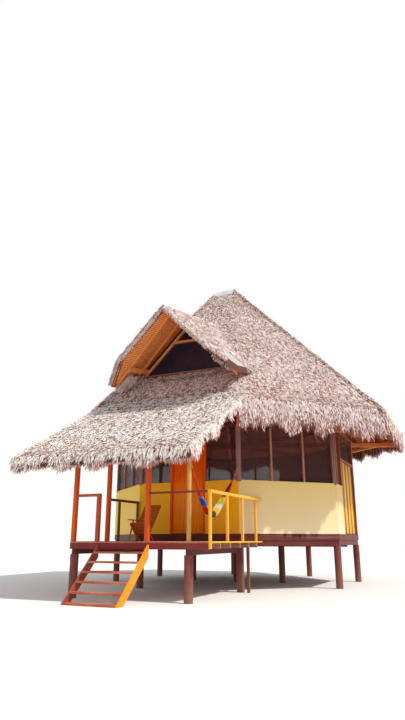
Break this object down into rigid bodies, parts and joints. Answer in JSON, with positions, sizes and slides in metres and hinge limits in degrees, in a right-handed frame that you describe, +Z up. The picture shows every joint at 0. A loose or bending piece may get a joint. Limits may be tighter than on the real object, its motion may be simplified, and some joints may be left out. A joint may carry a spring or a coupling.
{
  "type": "stilt house",
  "caption": "Octagonal timber house on round stilts, thatched roof with gabled dormer, thatched porch with stair and rails, netted walls and hinged doors.",
  "frame": {"origin": "foot of the centre post, on the ground, at the middle of the octagonal floor", "axes": "+X right along the porch front, +Y from the porch to the back of the house, +Z up"},
  "size_m": [9.7008, 12.1163, 9.34],
  "materials": {
    "maroon_wood": "satin",
    "orange_wood": "satin",
    "yellow_wood": "satin",
    "cream_panel": "matte",
    "bare_wood": "matte",
    "thatch": "matte",
    "netting": "matte",
    "pale_cap": "matte",
    "hammock_cloth": "matte"
  },
  "bodies": {
    "house": {"stilt_posts": "maroon_wood", "floor_girder": "maroon_wood", "floor_joists": "bare_wood", "rim_beams": "maroon_wood", "house_floor": "bare_wood", "deck_girders": "maroon_wood", "deck_joists": "bare_wood", "deck_floor": "maroon_wood", "deck_edge_boards": "maroon_wood", "stair_stringer_left": "maroon_wood", "stair_stringer_right": "yellow_wood", "stair_treads": "orange_wood", "corner_posts": "bare_wood", "wall_studs": "bare_wood", "wall_panels": "cream_panel", "sill_rails": "cream_panel", "mesh_screens": "netting", "back_boards": "orange_wood", "wall_plates": "maroon_wood", "front_door_frame": "orange_wood", "front_door_transom": "orange_wood", "side_door_frame": "orange_wood", "tie_beams": "orange_wood", "king_post": "bare_wood", "ridge_beam": "bare_wood", "eave_purlins": "orange_wood", "hip_rafters": "orange_wood", "common_rafters": "orange_wood", "thatch_front": "thatch", "thatch_front_right": "thatch", "thatch_right": "thatch", "thatch_back_right": "thatch", "thatch_back": "thatch", "thatch_back_left": "thatch", "thatch_left": "thatch", "thatch_front_left": "thatch", "eave_fringe": "thatch", "ridge_cap": "pale_cap", "porch_posts": "orange_wood", "porch_pole": "bare_wood", "porch_beam": "bare_wood", "porch_rafters": "bare_wood", "porch_thatch": "thatch", "porch_fringe": "thatch", "dormer_frame": "bare_wood", "dormer_screen": "netting", "dormer_boards": "orange_wood", "dormer_rafters": "orange_wood", "dormer_thatch_left": "thatch", "dormer_thatch_right": "thatch", "dormer_flashing": "pale_cap", "front_rail_left": "orange_wood", "front_rail_right": "maroon_wood", "side_rail_left": "maroon_wood", "side_rail_right": "yellow_wood", "porch_chair": "maroon_wood", "hammock": "hammock_cloth"},
    "front_door": {"front_door": "orange_wood"},
    "side_door_left": {"side_door_left": "yellow_wood"},
    "side_door_right": {"side_door_right": "yellow_wood"}
  },
  "joints": [
    {"name": "front_door_hinge", "type": "hinge", "parent": "house", "child": "front_door", "pos_m": [-0.441, -3.2826, 2.3], "axis": [0, 0, 1], "range_deg": [0, 90]},
    {"name": "side_door_left_hinge", "type": "hinge", "parent": "house", "child": "side_door_left", "pos_m": [3.2826, -0.547, 2.3], "axis": [0, 0, 1], "range_deg": [0, 90]},
    {"name": "side_door_right_hinge", "type": "hinge", "parent": "house", "child": "side_door_right", "pos_m": [3.2826, 1.287, 2.3], "axis": [0, 0, 1], "range_deg": [-90, 0]}
  ]
}
